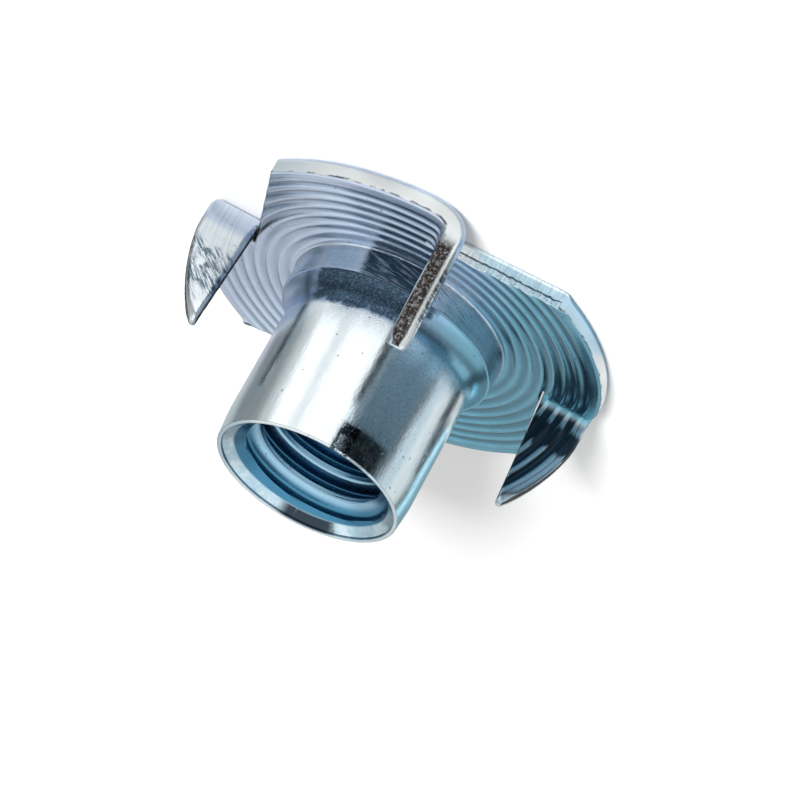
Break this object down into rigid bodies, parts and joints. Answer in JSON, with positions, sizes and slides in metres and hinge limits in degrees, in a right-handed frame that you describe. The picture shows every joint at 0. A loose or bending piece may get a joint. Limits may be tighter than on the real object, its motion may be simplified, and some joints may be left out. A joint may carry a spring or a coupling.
{
  "type": "tee nut",
  "caption": "Pressed steel tee nut: a round ringed flange with upright prongs cut and folded from its rim, and a threaded barrel drawn from its middle.",
  "frame": {"origin": "middle of the flange's flat outer face, on the thread's axis", "axes": "+Z along the thread, from the flange to the mouth of the barrel; +X along the fold of one prong, so the prongs lie on the X and Y axes"},
  "size_m": [0.022, 0.022, 0.0114],
  "materials": {
    "zinc": "bright zinc plating with a blue passivated film, glossy, with pressed rings, fine draw marks and dull sheared edges"
  },
  "bodies": {
    "root": {"tee_nut": "zinc"}
  },
  "joints": []
}
